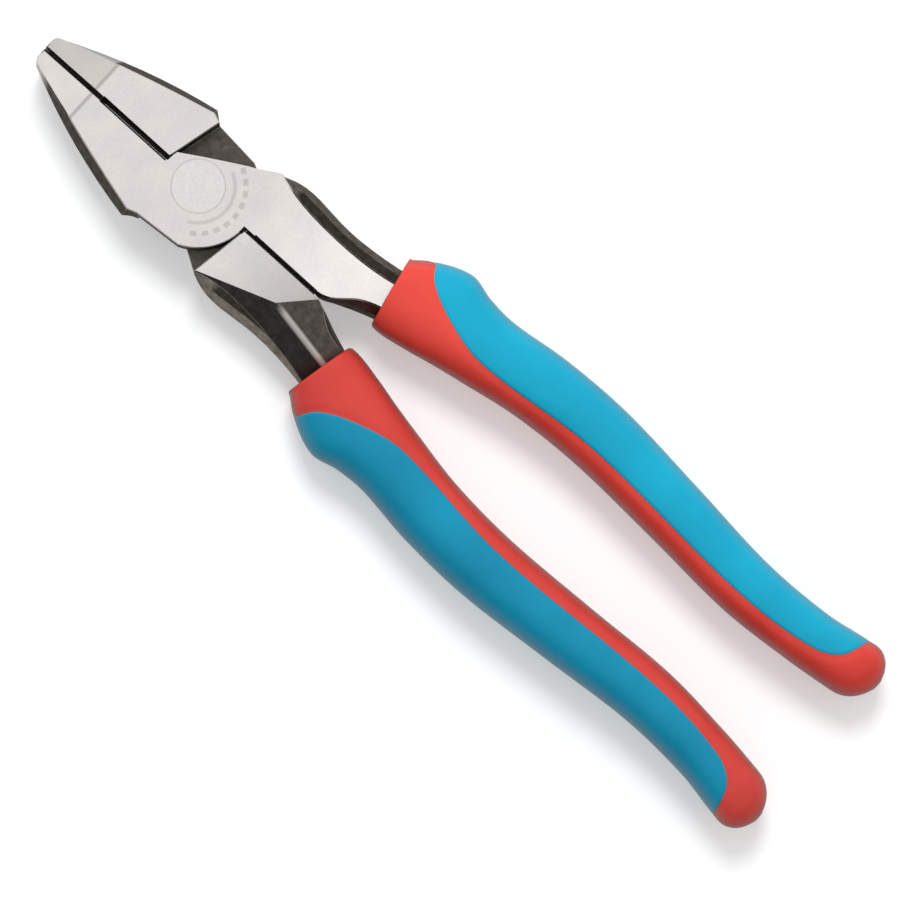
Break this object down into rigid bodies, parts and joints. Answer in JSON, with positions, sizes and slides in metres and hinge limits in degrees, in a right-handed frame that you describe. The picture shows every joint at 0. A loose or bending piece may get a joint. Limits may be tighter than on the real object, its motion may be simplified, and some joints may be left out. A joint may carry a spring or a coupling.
{
  "type": "lineman pliers",
  "caption": "Lineman's pliers with a lap joint: toothed gripping nose, side cutting knives and two-colour moulded grips on bowed handles.",
  "frame": {"origin": "on the pivot axis, at the ground back face of the joint (the rivet's back head)", "axes": "+Y along the closed tool towards the nose, +X to the right seen from the front, +Z out of the front face, along the pivot axis"},
  "size_m": [0.0572, 0.2415, 0.02],
  "materials": {
    "ground_steel": "satin ground faces, darker forged sides",
    "rivet_steel": "ground flush with the joint",
    "grip_red": "satin moulded grip",
    "grip_blue": "satin moulded grip, slightly textured"
  },
  "bodies": {
    "rear": {"rear_half": "ground_steel", "pivot_rivet": "rivet_steel", "rear_grip_base": "grip_red", "rear_grip_overlay": "grip_blue"},
    "front": {"front_half": "ground_steel", "front_grip_base": "grip_red", "front_grip_overlay": "grip_blue"}
  },
  "joints": [
    {"name": "jaw_pivot", "type": "hinge", "parent": "rear", "child": "front", "pos_m": [0, 0, 0.00775], "axis": [0, 0, 1], "range_deg": [0, 55]}
  ]
}
